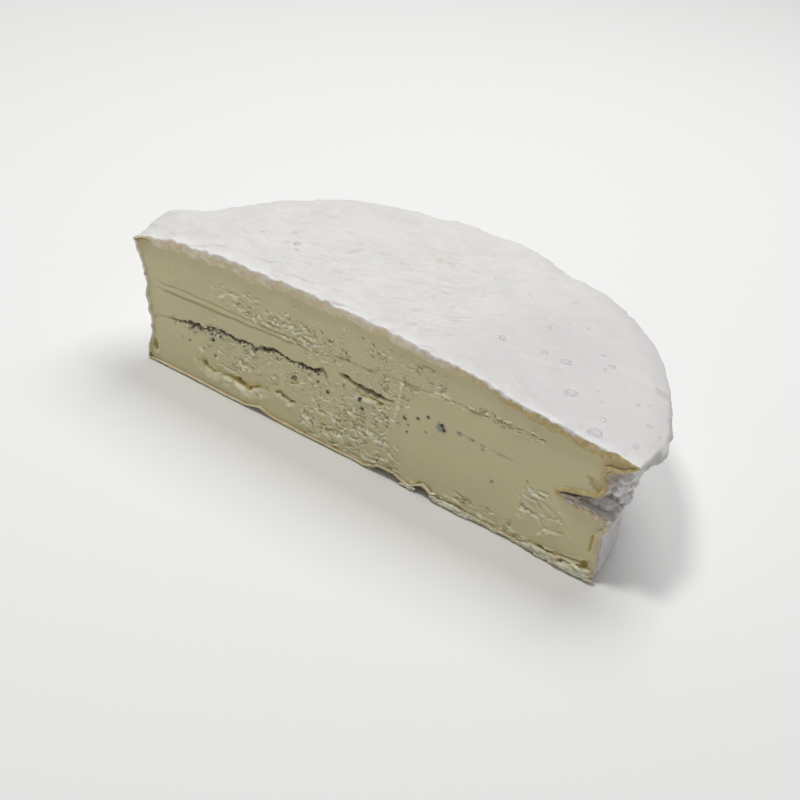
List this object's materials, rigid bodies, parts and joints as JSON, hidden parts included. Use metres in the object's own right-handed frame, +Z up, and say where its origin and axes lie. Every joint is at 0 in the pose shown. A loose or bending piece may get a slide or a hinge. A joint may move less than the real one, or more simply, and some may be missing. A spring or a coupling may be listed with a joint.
{
  "type": "truffle triple-cream cheese half wheel",
  "caption": "Half wheel of soft white-rinded triple-cream cheese, cut flat through the middle to show pale paste and a thin dark truffle layer.",
  "frame": {"origin": "middle of the underside's bounding box, on the surface the half wheel rests on", "axes": "+X along the cut, +Y towards the round back, so the cut face looks along -Y, +Z up"},
  "size_m": [0.1315, 0.0667, 0.0354],
  "materials": {
    "paste_and_rind": "soft, moist paste under a white mould rind",
    "truffle": "matt, moist, chopped",
    "rind": "matt white velvety mould, moist in places",
    "moisture": "clear drops"
  },
  "bodies": {
    "root": {"cheese_body": "paste_and_rind", "truffle_layer": "truffle"}
  },
  "joints": []
}
